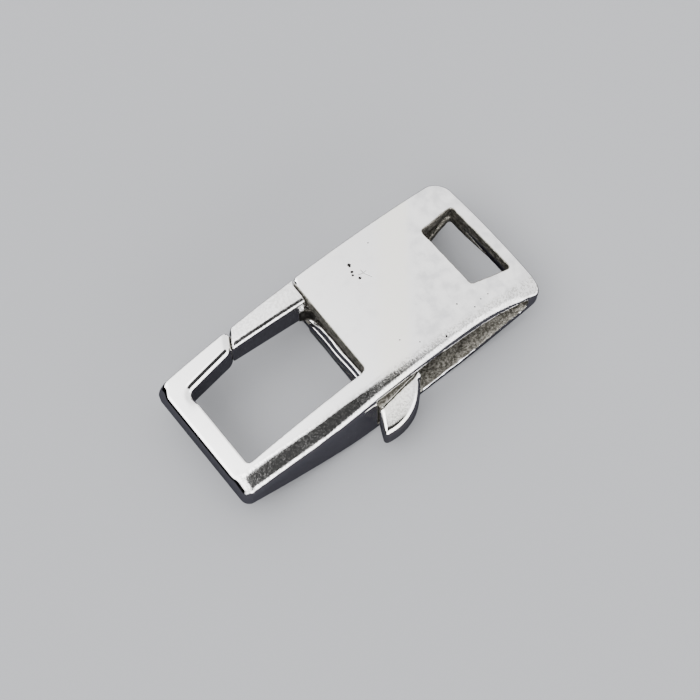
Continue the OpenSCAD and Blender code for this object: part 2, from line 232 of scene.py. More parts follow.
def walls(x, y, z):
    """The tab side, the far side and the rear of the clasp without its tab."""
    waist_r = 0.2
    rear = np.hypot(x - (REAR_BOW_R - NOSE_X), y) - REAR_BOW_R
    near = rmax(y - near_y(x), tab_side(x, y, z), waist_r)
    corner = blend(FLARE_CORNER_R, REAR_CORNER_R, ease(-y, -MIDDLE, MIDDLE))
    return rmax(np.maximum(near, far_side(x, y)), rear, corner)


def top(x, z):
    return np.hypot(x, z - TOP_AXIS_Z) - TOP_R


def belly(x, z):
    """The arched underside without its flat, deepest at BELLY_X."""
    r = np.where(x > BELLY_X, BELLY_FRONT_R, BELLY_REAR_R)
    return np.hypot(x - BELLY_X, z - r + BELLY_FLAT) - r


def bevel(x, y, z):
    """The slow cone that cuts the top along the near arm, deeper towards the nose."""
    deeper, deeper_zone = 0.1, (4.8, 9.3)
    end_slope, end_turn, end_soft = 0.25, 0.1, 0.1
    reach = np.hypot(x + BEVEL_BACK, z - TOP_AXIS_Z) - TOP_R - (BEVEL_Y - y) * BEVEL_SLOPE
    end = ramp(x - BEVEL_END - end_turn * (y - BEVEL_Y), end_soft)
    reach = reach + deeper * ease(x, *deeper_zone) + end_slope * end
    return reach / math.hypot(1, BEVEL_SLOPE)


def window(x, y):
    """The opening inside the ring, which reaches the far side between the plate and the hook."""
    overlap, corner_r = 0.4, 0.25
    back = right_of(x, y, *PLATE_FRONT)
    hook_side = right_of(x, y, (HOOK_TIP, -HOOK_TIP_EDGE), (NOSE_X - NOSE_BAR_W, -HOOK_EDGE))
    inner = rmax(x - NOSE_X + NOSE_BAR_W, y - NEAR_EDGE, WINDOW_R)
    inner = rmax(inner, hook_side, WINDOW_R)
    hook_end = right_of(x, y, (HOOK_TIP - HOOK_SLOPE, -HOOK_TIP_EDGE - 1), (HOOK_TIP, -HOOK_TIP_EDGE))
    opening = np.maximum(hook_end, y + HOOK_TIP_EDGE - overlap)
    return rmax(rmin(inner, opening, corner_r), back, WINDOW_R)


def slot(x, y):
    """The trapezoid slot through both plates at the rear."""
    front, rear = -SLOT_FRONT, -SLOT_REAR
    near = right_of(x, y, (rear, SLOT_REAR_W / 2 + SLOT_SHIFT), (front, SLOT_FRONT_W / 2))
    far = right_of(x, y, (rear, SLOT_SHIFT - SLOT_REAR_W / 2), (front, -SLOT_FRONT_W / 2))
    across = rmax(-near, far, SLOT_R)
    return rmax(rmax(across, x - front, SLOT_R), rear - x, SLOT_R)


def cavity(x, y, z):
    """The room between the plates, open to the tab side, the window and the gate's root."""
    rear_step, rear_step_zone = 0.35, (2.7, 3.3)
    plate_thinner, plate_thinner_w = 0.35, 0.6
    front = WINDOW_BACK + WINDOW_SKEW + GAP
    main = np.maximum(x - front, WALL_Y - y)
    far_opening = np.maximum(np.maximum(x - front, FAR_OPEN_X - x), y)
    notch = np.maximum(x - NOTCH_X, NEAR_EDGE - y)
    region = np.minimum(np.minimum(main, far_opening), notch)
    region = rmax(region, rear_step * ease(y, *rear_step_zone) - SLOT_REAR - x, CAVITY_R)
    ceiling = top(x, z) + PLATE_T - plate_thinner * ease(y, WAIST_Y - plate_thinner_w, WAIST_Y)
    return rmax(region, rmax(ceiling, belly(x, z) + FLOOR_T, CAVITY_R), CAVITY_R)


def sill(x, y, z):
    """The low wall on the bottom plate in front of the cross arm."""
    past_plate = 0.08
    front = WINDOW_BACK + past_plate + wave(y, x, z, *SILL_FRONT_WAVE)
    sides = np.maximum(np.maximum(x - front, WINDOW_BACK - SILL_W - x), np.abs(y) - NEAR_EDGE)
    level = np.maximum(z - SILL_H + wave(y, z, x, *SILL_TOP_WAVE), FLOOR_T / 2 - z)
    return rmax(sides, level, CAVITY_R)


def under_hook(x, y, z):
    """What is cut away under the hook, so that it is as thin as the gate."""
    front = NOSE_X - NOSE_BAR_W / 2
    under = right_of(x, z, (HOOK_END, GATE_Z), (front, END_Z - NOSE_T))
    under = np.where(x < HOOK_END, z - GATE_Z, -under)
    return np.maximum(np.maximum(under, y + HOOK_EDGE), np.maximum(x - front, WINDOW_BACK - x))


def pin_hole(x, y, clear):
    return np.hypot(x - HUB_X, y - HUB_Y) - PIN_R - clear


def body_outside(x, y, z):
    """The body without its openings, with its polished edges."""
    rim_zone, nose_zone, rear_zone, arm_zone = (2.9, 3.4), (8.8, 9.7), (7.5, 9.6), (0.5, 3.0)
    nose_side_zone, far_corner_zone = (9.3, 9.7), (3.1, 3.8)
    beside = ease(y, *rim_zone) * (1 - ease(x, *nose_zone)) * (1 - ease(-x, *rear_zone))
    rim = blend(RIM_R, ARM_RIM_R, ease(x, *arm_zone))
    nose_side = NOSE_SIDE_R + NEAR_CORNER_MORE * ease(y, -MIDDLE, MIDDLE)
    edge = blend(blend(EDGE_R, nose_side, ease(x, *nose_side_zone)), rim, beside)
    nose_edge = NOSE_EDGE_R + FAR_CORNER_MORE * ease(-y, *far_corner_zone)
    shell = rmax(top(x, z), bevel(x, y, z), BEVEL_R, BEVEL_BEND)
    shell = rmax(shell, x - NOSE_X, nose_edge, NOSE_BEND)
    solid = rmax(shell, walls(x, y, z), edge, 90 - RIM_BEND_LESS * beside)
    return np.maximum(rmax(solid, belly(x, z), BELLY_EDGE_R), -z)


def body_masks(x, y, z, opening, room, strap):
    """Where the body is rough cast and where it is satin, from 0 to 1."""
    satin_inside, fade = 0.5, 0.1
    wall_front_zone, wall_foot = (WINDOW_BACK + 0.25, WINDOW_BACK + 0.6), SILL_H + 0.25
    joint_side_zone = (HOOK_TIP_EDGE + 0.15, HOOK_TIP_EDGE + 0.05)
    outside_zone, behind_tab_zone = (-0.07, -0.03), (1.6, 2.0)
    arm_side_zone, arm_end_zone = (2.0, 2.6), (-9.9, -9.3)
    inside = np.abs(opening)
    wall = inside + FAR_OFF * ease(x, *wall_front_zone)
    wall = wall + FAR_OFF * ease(wall_foot - z, 0, fade)
    joint = inside + FAR_OFF * ease(-y, *joint_side_zone)
    joint = joint + FAR_OFF * ease(x, HOOK_TIP - fade, HOOK_TIP)
    outside = ease(y - near_y(x), *outside_zone) * ease(-x, *behind_tab_zone)
    arm = closeness(bevel(x, y, z)) * ease(y, *arm_side_zone) * ease(-x, *arm_end_zone)
    satin = np.maximum(arm, satin_inside * closeness(inside))
    return closeness(room + outside, strap, wall, joint), satin


def body(x, y, z):
    """Field of the body, and where it is rough cast and where it is satin, from 0 to 1."""
    cavity_wave, cavity_wave_zone = 0.4, (3.4, 2.6)
    slot_wave_less, slot_depth_zone = 0.6, (0.1, 0.5)
    plate_corner_zones = (3.4, 3.9), (-1.4, -1.1)
    hook_zones = (1.6, 2.4), (1.2, 2.0)
    bottom_edge_zones = (WAIST_Y - 0.9, WAIST_Y - 0.4), (1.9, 1.3)
    foot_zones = (0.35, 0.75), (SLOT_FRONT + 1.2, SLOT_REAR - 0.6)
    foot_r, foot_r_more, foot_r_zone = 0.12, 0.4, (-2, 1.5)
    below_top = -top(x, z)
    uneven = wave(x, y, z, *CAST_WAVE)
    opening = window(x, y)
    room = cavity(x, y, z) + cavity_wave * uneven * ease(z, *cavity_wave_zone)
    strap = slot(x, y) + uneven * (1 - slot_wave_less * ease(below_top, *slot_depth_zone))
    solid = body_outside(x, y, z)

    plate_corner = ease(-y, *plate_corner_zones[0]) * ease(-x, *plate_corner_zones[1])
    beside_hook = ease(-y, *hook_zones[0]) * ease(x, *hook_zones[1])
    sharp = rmax(solid, -opening, blend(CUT_R, PLATE_CORNER_R, plate_corner))
    solid = blend(sharp, chamfer(solid, -opening, HOOK_CHAMFER, INNER_EDGE_R), beside_hook)

    bottom_edge = ease(y, *bottom_edge_zones[0]) * ease(z, *bottom_edge_zones[1])
    sharp = rmax(solid, -room, CAVITY_R)
    solid = blend(sharp, chamfer(solid, -room, LEDGE_CHAMFER, FINE_R), bottom_edge)
    solid = rmax(solid, -under_hook(x, y, z), HOOK_FOOT_R)
    solid = rmin(solid, sill(x, y, z), SEAM_R)

    foot = ease(below_top, *foot_zones[0]) * ease(-x, *foot_zones[1])
    foot = foot * (foot_r + foot_r_more * ease(y, *foot_r_zone))
    solid = rmax(solid, -strap, CUT_R + foot)
    hole = np.maximum(pin_hole(x, y, PIN_SEAT), z - BODY_T + PIN_COVER)
    return np.maximum(solid, -hole), *body_masks(x, y, z, opening, room, strap)


def gate(x, y, z):
    """The gate arm, with a tongue below its tip and a root that runs in under the top plate."""
    tongue_l, tongue_zone, root_past = 0.07, (0.25, 0.4), 0.1
    seam_gap, side_r, foot_r = 0.7 * GAP, 0.08, 0.2
    inner = right_of(x, y, GATE_TIP, GATE_ROOT)
    tip = right_of(x, y, (GATE_TIP[0] - HOOK_SLOPE, GATE_TIP[1] - 1), GATE_TIP)
    upper = top(x, z) + GATE_DROP
    tongue = tongue_l * ease(-upper, *tongue_zone)
    arm = rmax(chamfer(upper, inner, INNER_CHAMFER, INNER_EDGE_R), tip - tongue, EDGE_R)
    plate = rmax(-right_of(x, y, *PLATE_FRONT), far_side(x, y), PLATE_CORNER_R)
    arm = rmax(arm, seam_gap - plate, SEAM_R)
    arm = rmax(rmax(arm, far_side(x, y), side_r), GATE_Z - z, foot_r)
    root = np.maximum(FAR_OPEN_X + GAP - x, x - GATE_ROOT[0] - root_past)
    root = np.maximum(root, y + GATE_EDGE)
    root = rmax(root, far_side(x, y), EDGE_R)
    root = rmax(root, np.maximum(upper - GATE_DROP + PLATE_T + GAP, GATE_Z - z), CAVITY_R)
    return rmin(arm, root, SEAM_R)


def corner_fill(x, y, front, r):
    """The hollow corner between the gate's inner side and a wall at front, seen from above."""
    in_arm, in_gate = 0.2, 0.3
    centre = (front + r, r - GATE_EDGE)
    hollow = r - np.hypot(x - centre[0], y - centre[1])
    before = np.maximum(x - centre[0], y - centre[1])
    behind = np.maximum(ARM_FRONT - in_arm - x, -GATE_EDGE - in_gate - y)
    return np.maximum(np.maximum(before, behind), hollow)


def past_window(y, more):
    """How far y lies outside the window's width at the lever, widened by more at both ends."""
    shift = (GATE_EDGE - NEAR_EDGE) / 2
    return np.abs(y + shift) - NEAR_EDGE - more


def cross_arm(x, y, z):
    """The arm between the plates from the hub to the tab, with a bar above the sill."""
    bar_w, past_waist, fill_front = 1.4, 0.2, 0.12
    low_front = WINDOW_BACK - SILL_W - SILL_GAP
    rear = right_of(x, y, (-ARM_REAR, WAIST_Y), (HUB_X - HUB_R, HUB_Y))
    strip = np.maximum(rear, y - WAIST_Y - past_waist)
    inner = np.maximum(np.maximum(strip, x - low_front), HUB_Y - y)
    near = np.maximum(np.maximum(strip, x - TAB_FRONT), NEAR_EDGE + GAP / 2 - y)
    hub = np.hypot(x - HUB_X, y - HUB_Y) - HUB_R
    arm = np.minimum(np.minimum(inner, near), hub)
    bar = np.abs(x - ARM_FRONT + bar_w / 2) - bar_w / 2
    bar = np.maximum(bar, past_window(y, (GATE_EDGE - NEAR_EDGE) / 2))
    solid = rmin(arm, rmax(bar, SILL_H + GAP - z, ARM_EDGE_R), CAVITY_R)
    fill = np.maximum(corner_fill(x, y, ARM_FRONT + fill_front, CORNER_FILL_R), GATE_Z - z)
    solid = rmax(rmin(solid, fill, ARM_EDGE_R), z - ARM_HIGH, ARM_EDGE_R)
    return rmax(solid, ARM_LOW - z, ARM_EDGE_R)


def lip(x, y, z):
    """The uneven ledge along the foot of the cross arm and round the gate's inner corner."""
    corner_front, corner_drop, corner_zone = 0.06, 0.15, (1.5, 2.2)
    undercut, undercut_top, undercut_h = 0.02, LEDGE_Z - 0.25, 0.5
    lip_w, shorter, slow_up = 0.4, 0.1, 0.5
    corner = ease(-y, *corner_zone)
    front = LEDGE_X + corner_front * corner + wave(y, x, slow_up * z, *LEDGE_FRONT_WAVE)
    front = front - undercut * ease(undercut_top - z, 0, undercut_h)
    strip = np.maximum(x - front, np.maximum(ARM_FRONT - lip_w - x, past_window(y, -shorter)))
    strip = np.minimum(strip, corner_fill(x, y, front, LIP_R))
    upper = z - LEDGE_Z + corner_drop * corner + wave(y, x, z, *LEDGE_TOP_WAVE)
    lower = blend(SILL_H + GAP, GATE_Z, corner) - z
    return rmax(rmax(strip, upper, EDGE_R), lower, CAVITY_R)


def face_edge(x):
    """Where the satin face of the tab starts, across the lever's top beside the body."""
    skew = 0.14
    return TAB_STEP_Y - skew * np.maximum(TAB_FRONT - x, 0)


def tab(x, y, z):
    """Field of the thumb tab, and where its satin face is, from 0 to 1."""
    flank_mid = (TAB_TIP - TAB_CREST, TAB_REACH - TAB_FLANK_R)
    front_ends = (TAB_TIP + 0.2, TAB_REACH), (TAB_FRONT + 0.1, NEAR_MID + GAP)
    rise_zone, fall_y, soft = (-0.05, 0.12), TAB_STEP_Y + 0.25, 0.2
    outer_zone, root_y = (TAB_STEP_Y - 0.3, TAB_STEP_Y), WAIST_Y - 0.5
    rim_w, rim_zone = 0.16, (TAB_REACH - 0.9, TAB_REACH - 0.5)
    face_zone, face_top_zone = (0.14, 0.24), (TAB_TIP_Z + 0.6, TAB_TIP_Z + 0.9)
    flank = np.hypot(x - flank_mid[0], y - flank_mid[1]) - TAB_FLANK_R
    front = -right_of(x, y, *front_ends)
    front = np.where(y < NEAR_MID + GAP, x - TAB_FRONT, front)
    slope = (TAB_TIP_Z - ARM_LOW) / (TAB_REACH - NEAR_MID - GAP)
    under = ARM_LOW + slope * ramp(y - NEAR_MID - GAP, soft) - z
    rise = blend(ARM_HIGH, TAB_TOP, ease(y - face_edge(x), *rise_zone))
    over = (z - rise + TAB_FALL * ramp(y - fall_y, soft)) / math.hypot(1, TAB_FALL)
    outer = ease(y, *outer_zone)
    solid = rmax(flank, over, blend(CAVITY_R, TAB_RIM_R, outer))
    solid = rmax(solid, front, blend(CAVITY_R, TAB_TIP_R, outer))
    solid = rmax(np.maximum(solid, root_y - y), under, TAB_FOOT_R)
    inset = -np.maximum(flank, front) - rim_w * ease(y, *rim_zone)
    return solid, ease(inset, *face_zone) * ease(z, *face_top_zone)


def lever_masks(x, y, z, arm, face):
    """Where the lever is rough cast and where it is satin, from 0 to 1."""
    satin_tab, satin_gate, gate_zone = 0.7, 0.6, (2.0, 2.4)
    ledge_front_zone, ledge_end_zone = (LEDGE_X - 0.08, LEDGE_X - 0.14), (2.9, 2.7)
    ledge_top_zone = (LEDGE_Z - 0.3, LEDGE_Z - 0.1)
    arm_front_zone, arm_top_zone = (2.2, 3.0), (END_Z + 0.65, END_Z + 0.45)
    cast_border, face_border = (-0.04, 0.04), (0.0, 0.08)
    ledge = ease(x, *ledge_front_zone) * ease(-y, *ledge_end_zone) * ease(z, *ledge_top_zone)
    cast = np.maximum(closeness(arm + FAR_OFF * ease(x, *arm_front_zone)), ledge)
    cast = cast * ease(z, *arm_top_zone) * ease(face_edge(x) - y, *cast_border)
    face = satin_tab * face * ease(y - face_edge(x), *face_border)
    return cast * (1 - face), np.maximum(face, satin_gate * ease(-y, *gate_zone))


def lever(x, y, z):
    """Field of the lever, and where it is rough cast and where it is satin, from 0 to 1."""
    tab_seam_r = 0.08
    arm = cross_arm(x, y, z)
    thumb, face = tab(x, y, z)
    solid = rmin(rmin(gate(x, y, z), arm, ARM_EDGE_R), lip(x, y, z), FINE_R)
    solid = rmin(solid, thumb, tab_seam_r)
    level = np.abs(z - (ARM_LOW + ARM_HIGH) / 2) - POCKET_HALF
    pocket = np.maximum(level, np.hypot(x - HUB_X, y - HUB_Y) - COIL_OUTER_R - COIL_ROOM)
    side = np.maximum(np.abs(x - HUB_X + HUB_R) - HUB_R, level)
    cuts = np.minimum(np.minimum(pocket, side), pin_hole(x, y, PIN_CLEAR))
    return rmax(solid, -cuts, SEAM_R), *lever_masks(x, y, z, arm, face)


def lines(low, high, fine, coarse=0.0, places=(), reach=0.3, growth=0.22):
    """Grid positions from low to high: fine all along, or fine near the places and coarse between."""
    out = [low]
    while out[-1] < high:
        step = fine
        if places:
            far = min(abs(place - out[-1]) for place in places)
            step = min(coarse, fine + growth * max(0.0, far - reach))
        out.append(out[-1] + step)
    return np.array(out)


def further(corner, axis):
    """The corner of a grid cell one step along the axis."""
    return tuple(place + (i == axis) for i, place in enumerate(corner))


CORNERS = [(i, j, k) for i in (0, 1) for j in (0, 1) for k in (0, 1)]
EDGES = [(a, further(a, axis)) for a in CORNERS for axis in range(3) if a[axis] == 0]


def surface_net(field, xs, ys, zs):
    """Points and four-sided faces of the field's zero surface on a grid.

    Each cell that the surface crosses gets one point, and each grid line that it crosses gets a
    face between the four cells round that line.
    """
    grid = field(xs[:, None, None], ys[None, :, None], zs[None, None, :])[0]
    inside = grid < 0
    shape = tuple(n - 1 for n in grid.shape)
    count = np.zeros(shape, int)
    for i, j, k in CORNERS:
        count += inside[i : i + shape[0], j : j + shape[1], k : k + shape[2]]
    cell = np.nonzero((count > 0) & (count < len(CORNERS)))
    index = np.full(shape, -1)
    index[cell] = np.arange(len(cell[0]))
    total = np.zeros((len(cell[0]), 3))
    crossings = np.zeros(len(cell[0]))
    for a, b in EDGES:
        pa, pb = (tuple(c + o for c, o in zip(cell, corner)) for corner in (a, b))
        fa, fb = grid[pa], grid[pb]
        hit = (fa < 0) != (fb < 0)
        t = np.where(hit, fa / np.where(hit, fa - fb, 1), 0)
        for axis, steps in enumerate((xs, ys, zs)):
            start, stop = steps[pa[axis]], steps[pb[axis]]
            total[:, axis] += np.where(hit, start + t * (stop - start), 0)
        crossings += hit
    points = total / crossings[:, None]
    faces = []
    for axis in range(3):
        u, v = (axis + 1) % 3, (axis + 2) % 3
        one = [slice(1, -1)] * 3
        one[axis] = slice(0, -1)
        two = list(one)
        two[axis] = slice(1, None)
        first, second = inside[tuple(one)], inside[tuple(two)]
        spot = np.nonzero(first != second)
        base = [spot[a] + (0 if a == axis else 1) for a in range(3)]
        ring = []
        for du, dv in ((-1, -1), (0, -1), (0, 0), (-1, 0)):
            at = list(base)
            at[u], at[v] = base[u] + du, base[v] + dv
            ring.append(index[tuple(at)])
        quad = np.stack(ring, 1)
        flip = ~first[spot]
        quad[flip] = quad[flip][:, ::-1]
        faces.append(quad)
    return points, np.concatenate(faces)


def gradient(field, p, step):
    """Slope of the field at the points p."""
    g = np.empty_like(p)
    for axis in range(3):
        d = np.zeros(3)
        d[axis] = step
        g[:, axis] = (field(*(p + d).T)[0] - field(*(p - d).T)[0]) / (2 * step)
    return g


def skin(name, field, xs, ys, zs, material):
    """A mesh object on the field's surface, in the row frame.

    The points of the net are first moved onto the surface in a few rounds.
    """
    rounds, longest_move, least_slope = 4, 0.05, 0.2
    move_step, normal_step, tiny = 0.004, 0.012, 1e-9
    points, faces = surface_net(field, xs, ys, zs)
    for _ in range(rounds):
        g = gradient(field, points, move_step)
        steepness = np.maximum((g * g).sum(1), least_slope)
        move = -field(*points.T)[0][:, None] * g / steepness[:, None]
        length = np.linalg.norm(move, axis=1, keepdims=True)
        points += move * np.minimum(1, longest_move / np.maximum(length, tiny))
    normals = gradient(field, points, normal_step)
    normals /= np.maximum(np.linalg.norm(normals, axis=1, keepdims=True), tiny)
    cast, satin = field(*points.T)[1:]
    mesh = bpy.data.meshes.new(name)
    mesh.from_pydata(((points - (0, MID_Y, 0)) * MM).tolist(), [], faces.tolist())
    for kind, mask in (("cast", cast), ("satin", satin)):
        attribute = mesh.attributes.new(kind, "FLOAT", "POINT")
        attribute.data.foreach_set("value", mask.astype(np.float32))
    mesh.polygons.foreach_set("use_smooth", np.ones(len(mesh.polygons), bool))
    mesh.validate()
    mesh.normals_split_custom_set_from_vertices(normals.tolist())
    mesh.materials.append(material)
    obj = bpy.data.objects.new(name, mesh)
    bpy.context.scene.collection.objects.link(obj)
    return obj


class Graph:
    """Short calls for building a node tree."""

    def __init__(self, tree):
        self.tree = tree
        tree.nodes.clear()

    def node(self, kind, inputs=(), **settings):
        n = self.tree.nodes.new(kind)
        for key, value in settings.items():
            setattr(n, key, value)
        for key, value in dict(inputs).items():
            socket = n.inputs[key]
            if isinstance(value, bpy.types.NodeSocket):
                self.tree.links.new(value, socket)
            else:
                socket.default_value = value
        return n

    def math(self, operation, *values):
        return self.node("ShaderNodeMath", enumerate(values), operation=operation).outputs[0]

    def vector(self, operation, a, b):
        """A vector made from two, or a number in the case of a distance or a dot product."""
        n = self.node("ShaderNodeVectorMath", {0: a, 1: b}, operation=operation)
        return n.outputs[1 if operation in ("DISTANCE", "DOT_PRODUCT") else 0]

    def scale(self, vector, factor):
        inputs = {0: vector, "Scale": factor}
        return self.node("ShaderNodeVectorMath", inputs, operation="SCALE").outputs[0]

    def step(self, value, start, stop, low=0.0, high=1.0):
        """Smooth step of value from low at start to high at stop."""
        inputs = {0: value, 1: start, 2: stop, 3: low, 4: high}
        return self.node("ShaderNodeMapRange", inputs, interpolation_type="SMOOTHSTEP").outputs[0]

    def mix(self, factor, a, b):
        """Colour a where factor is 0 and b where it is 1."""
        inputs = {0: factor, 6: a, 7: b}
        return self.node("ShaderNodeMix", inputs, data_type="RGBA").outputs[2]

    def noise(self, vector, scale, detail=2.0, rough=0.5):
        inputs = {"Vector": vector, "Scale": scale, "Detail": detail, "Roughness": rough}
        return self.node("ShaderNodeTexNoise", inputs).outputs["Fac"]

    def place(self):
        """The object's own coordinates in millimetres."""
        return self.scale(self.node("ShaderNodeTexCoord").outputs["Object"], 1 / MM)

    def mask(self, name):
        return self.node("ShaderNodeAttribute", attribute_name=name).outputs["Fac"]

    def bump(self, height, strength, distance):
        inputs = {"Strength": strength, "Distance": distance, "Height": height}
        return self.node("ShaderNodeBump", inputs).outputs[0]

    def surface(self, inputs):
        """Ends a material with one Principled shader that has these inputs."""
        shader = self.node("ShaderNodeBsdfPrincipled", inputs)
        self.node("ShaderNodeOutputMaterial", {"Surface": shader.outputs[0]})

    def metal(self, colour, rough, normal):
        inputs = {"Base Color": colour, "Metallic": 1.0, "Roughness": rough, "Normal": normal}
        self.surface(inputs)


def new_material(name):
    """A material and the graph to fill it with."""
    material = bpy.data.materials.new(name)
    material.use_nodes = True
    return material, Graph(material.node_tree)


# Silver, and the warm tint of a painted reflection that crosses the top plate
SILVER, SILVER_WARM_REFLECTION = (0.955, 0.95, 0.95, 1), (0.97, 0.955, 0.9, 1)
SILVER_GREY, SATIN = (0.7, 0.7, 0.715, 1), (0.45, 0.446, 0.435, 1)
CAST_LIGHT, CAST_DARK = (0.5, 0.48, 0.43, 1), (0.11, 0.104, 0.088, 1)
# Near black of the casting pits, also used as the painted shade on the lever's cast walls
PIT_AND_SHADE = (0.012, 0.011, 0.01, 1)
DRAWN_SILVER, SPRING_STEEL = (0.9, 0.89, 0.87, 1), (0.5, 0.5, 0.52, 1)

# Noises of the metals: grains per millimetre, detail and roughness
CLOUD, SMUDGE, SPECK = (0.6, 3), (1.3, 4, 0.6), (10.0, 2, 0.65)
SAND, BURR, DRAWING = (7.0, 3, 0.7), (2.4, 3), (14.0, 3, 0.6)

# Casting pits in the top plate in millimetres: X, Y and radius
PITS = (
    (-2.23, -3.59, 0.12),
    (-2.2, -3.5, 0.08),
    (-2.08, -3.16, 0.1),
    (-1.99, -2.97, 0.085),
    (-2.19, -2.61, 0.105),
    (-3.91, -4.02, 0.045),
    (-3.62, 2.89, 0.07),
    (-2.27, 2.28, 0.045),
    (-1.51, 1.53, 0.045),
    (-5.97, 2.49, 0.05),
    (-6.56, 2.32, 0.045),
    (-5.31, 1.78, 0.055),
    (-7.08, 2.31, 0.045),
)
# A scratch beside them in millimetres: its middle and the ends of its arms
SCRATCH = (-2.53, -2.73)
SCRATCH_ENDS = ((-2.54, -2.95), (-2.72, -2.76), (-2.25, -2.81), (-2.75, -2.29))


def marks(g, place):
    """1 in the pits of the top plate, less in its scratch and 0 elsewhere."""
    pit_floor = 0.65
    scratch_edges, scratch_depth = (0.035, 0.01), 0.6
    top_zone = (END_Z + 0.1, END_Z + 0.2)
    parts = g.node("ShaderNodeSeparateXYZ", {0: place}).outputs
    spot = g.node("ShaderNodeCombineXYZ", {0: parts[0], 1: parts[1]}).outputs[0]
    total = 0.0
    for x, y, radius in PITS:
        away = g.vector("DISTANCE", spot, (x, y, 0))
        total = g.math("MAXIMUM", total, g.step(away, radius, pit_floor * radius))
    start = g.vector("SUBTRACT", spot, (*SCRATCH, 0))
    for end in SCRATCH_ENDS:
        arm = (end[0] - SCRATCH[0], end[1] - SCRATCH[1], 0)
        along = g.vector("DOT_PRODUCT", start, arm)
        inputs = {0: along, 1: arm[0] ** 2 + arm[1] ** 2}
        share = g.node("ShaderNodeMath", inputs, operation="DIVIDE", use_clamp=True).outputs[0]
        away = g.vector("DISTANCE", start, g.scale(arm, share))
        total = g.math("MAXIMUM", total, g.step(away, *scratch_edges, 0.0, scratch_depth))
    on_top = g.step(parts[2], *top_zone)
    return g.math("MULTIPLY", total, on_top)


def polished(g, place, smudge):
    """Colour of the polished silver: a faint warm band across the top plate, which is a painted
    reflection, greyer behind it.
    """
    band_way, band_front, band_rear, behind_band = (-1.23, 1, 0), (1.0, 2.4), (4.6, 3.8), (3.8, 5.4)
    smudge_behind, smudge_all = (0.35, 0.75), (0.5, 0.75, 0.0, 0.35)
    across = g.vector("DOT_PRODUCT", place, band_way)
    # The warm band is a painted reflection of warm light across the top plate
    warm_reflection = g.math("MULTIPLY", g.step(across, *band_front), g.step(across, *band_rear))
    grey = g.math("MULTIPLY", g.step(across, *behind_band), g.step(smudge, *smudge_behind))
    clean = g.mix(g.step(smudge, *smudge_all), SILVER, SILVER_GREY)
    return g.mix(grey, g.mix(warm_reflection, clean, SILVER_WARM_REFLECTION), SILVER_GREY)


def cast_colour(g, place, sand, burr, shaded_brightness):
    """Colour of the rough cast walls, darkened away from the tab side with painted shade, where the
    top plate shades them.
    """
    sand_share, burr_share, light_zone, unshaded_zone = 0.8, 0.2, (0.42, 0.66), (1.2, 2.0)
    grains = g.math("MULTIPLY", sand, sand_share)
    grains = g.math("ADD", grains, g.math("MULTIPLY", burr, burr_share))
    wall = g.mix(g.step(grains, *light_zone), CAST_DARK, CAST_LIGHT)
    y = g.node("ShaderNodeSeparateXYZ", {0: place}).outputs[1]
    # Painted shade: cast walls away from the tab side darken towards near black, where the top plate
    # shades them
    return g.mix(g.step(y, *unshaded_zone, shaded_brightness, 1.0), PIT_AND_SHADE, wall)


def silver(name, pitted, shaded_brightness):
    """Polished silver, with rough cast walls and satin faces where the mesh says so.

    The cast walls away from the tab side keep only the given share of their brightness, as painted
    shade under the top plate. Steps have the noise or mask values where they start and stop and the
    results there, and depths are in millimetres.
    """
    ragged, cast_step, cast_rough = 0.4, (0.25, 0.7), 0.42
    stain_step, dull_step = (0.4, 0.62, 0.0, 0.9), (0.38, 0.68, 0.0, 0.17)
    shine_step = (0.3, 0.7, 0.06, 0.11)
    satin_grain, polish_grain, sand_grain, burr_grain = 0.007, 0.0008, 0.02, 0.03
    pit_rough, pit_depth = 0.4, 0.03
    material, g = new_material(name)
    place, satin = g.place(), g.mask("satin")
    cloud, smudge, speck = (g.noise(place, *kind) for kind in (CLOUD, SMUDGE, SPECK))
    sand, burr = (g.noise(place, *kind) for kind in (SAND, BURR))
    border = g.math("MULTIPLY", g.math("SUBTRACT", sand, 0.5), ragged)
    cast = g.step(g.math("ADD", g.mask("cast"), border), *cast_step)

    stained = g.math("MULTIPLY", satin, g.step(speck, *stain_step))
    colour = g.mix(stained, polished(g, place, smudge), SATIN)
    colour = g.mix(cast, colour, cast_colour(g, place, sand, burr, shaded_brightness))

    dull = g.math("MULTIPLY", satin, g.step(speck, *dull_step))
    rough = g.math("ADD", dull, g.step(cloud, *shine_step))
    rough = g.math("ADD", rough, g.math("MULTIPLY", cast, cast_rough))

    depth = g.math("MULTIPLY", speck, g.math("MULTIPLY_ADD", satin, satin_grain, polish_grain))
    uneven = g.math("MULTIPLY", burr, burr_grain)
    uneven = g.math("ADD", g.math("MULTIPLY", sand, sand_grain), uneven)
    depth = g.math("ADD", depth, g.math("MULTIPLY", cast, uneven))
    if pitted:
        pit = marks(g, place)
        colour = g.mix(pit, colour, PIT_AND_SHADE)
        rough = g.math("MULTIPLY_ADD", pit, pit_rough, rough)
        depth = g.math("MULTIPLY_ADD", pit, -pit_depth, depth)
    g.metal(colour, rough, g.bump(depth, 1.0, MM))
    return material


def plain_metal(name, colour, rough):
    """Metal of the hidden pin and spring, with fine drawing marks."""
    grain_zone, more, strength, depth = (0.3, 0.7), 0.06, 0.6, 0.01 * MM
    material, g = new_material(name)
    grain = g.noise(g.place(), *DRAWING)
    shine = g.step(grain, *grain_zone, rough - more, rough + more)
    g.metal(colour, shine, g.bump(grain, strength, depth))
    return material


# Steps of the meshing grid in millimetres, and how far it reaches past the pieces
COARSE, FINE = ((0.17, 0.075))
FINE_UP = FINE + 0.01
PAST, PAST_Z = 0.2, 0.15
